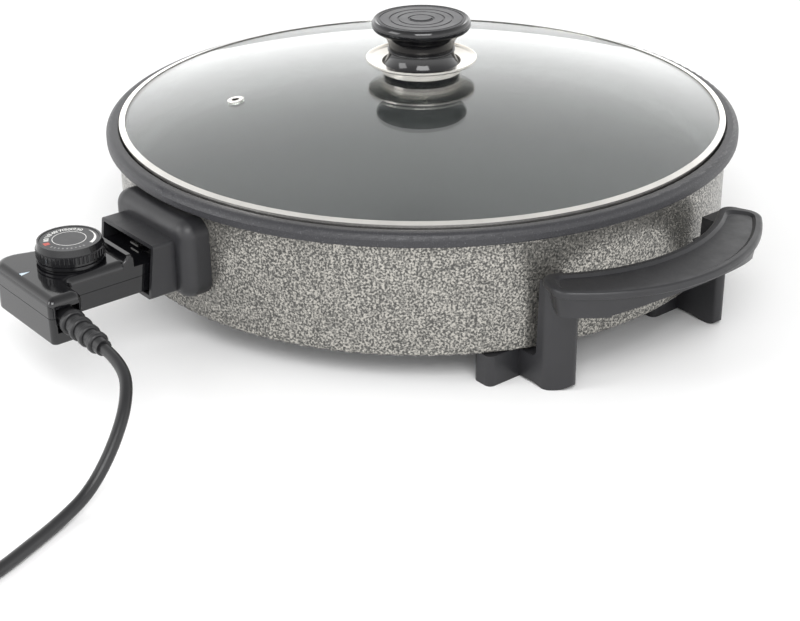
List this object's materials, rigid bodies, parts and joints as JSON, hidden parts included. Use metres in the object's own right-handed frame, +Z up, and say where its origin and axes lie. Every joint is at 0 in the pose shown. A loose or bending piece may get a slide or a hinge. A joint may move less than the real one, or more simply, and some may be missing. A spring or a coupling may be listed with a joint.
{
  "type": "electric griddle",
  "caption": "Round electric griddle pan with glass lid, side handles that form the feet, and a plug-in dial temperature controller with mains lead.",
  "frame": {"origin": "on the table plane, on the pan's vertical axis", "axes": "+Z up; the temperature controller plugs in from -Y; the two handles are at +X and -X"},
  "size_m": [0.524, 0.7485, 0.1644],
  "materials": {
    "pan_coating": "hammertone speckle outside, dark non-stick rim and inside",
    "moulding": "fine matte charcoal phenolic",
    "controller": "polished black",
    "knob": "polished black phenolic",
    "knob_ring": "dark grey with turned rings",
    "glass": "clear, faint green",
    "stainless": "polished stainless steel",
    "satin_steel": "satin",
    "zinc_screw": "zinc plated",
    "brass": "drawn brass",
    "element_sheath": "heat-darkened sheath",
    "ceramic": "white steatite",
    "silicone": "translucent grey silicone",
    "rubber": "black flexible PVC",
    "lens": "pale blue-white lens",
    "lamp": "neon lamp",
    "print": "black disc with printed numbers"
  },
  "bodies": {
    "pan": {"pan_body": "pan_coating", "pan_floor": "pan_coating", "heating_element": "element_sheath", "terminal_pins": "stainless", "terminal_beads": "ceramic", "probe_guide": "satin_steel", "socket_housing": "moulding", "socket_screws": "zinc_screw", "earth_blade": "satin_steel", "handle_right": "moulding", "handle_left": "moulding", "handle_screws": "zinc_screw"},
    "lid": {"lid_glass": "glass", "lid_band": "stainless", "lid_vent": "stainless", "lid_gasket": "silicone", "knob_plate": "satin_steel", "lid_knob": "knob", "knob_cap": "knob_ring", "knob_insert": "brass", "lid_seal": "silicone", "lid_washer": "zinc_screw", "lid_screw": "zinc_screw"},
    "controller": {"controller_top": "controller", "controller_bottom": "controller", "controller_screws": "zinc_screw", "pointer_lens": "lens", "pilot_lamp": "lamp", "pin_contacts": "brass", "sensor_probe": "stainless", "thermostat_frame": "satin_steel", "ceramic_stack": "ceramic", "contact_blade": "brass", "strain_relief": "rubber", "mains_lead": "rubber", "lead_coil": "rubber", "lead_tail": "rubber", "plug_body": "rubber", "plug_pins": "stainless"},
    "dial": {"dial_knob": "controller", "dial_disc": "print", "dial_spindle": "satin_steel"}
  },
  "joints": [
    {"name": "lid_lift", "type": "slide", "parent": "pan", "child": "lid", "axis": [0, 0, 1], "range_m": [0, 0.16]},
    {"name": "controller_pull", "type": "slide", "parent": "pan", "child": "controller", "axis": [0, -1, 0], "range_m": [0, 0.11]},
    {"name": "dial_turn", "type": "hinge", "parent": "controller", "child": "dial", "pos_m": [0, -0.2707, 0.0706], "axis": [0, 0, 1], "range_deg": [-270, 0]}
  ]
}
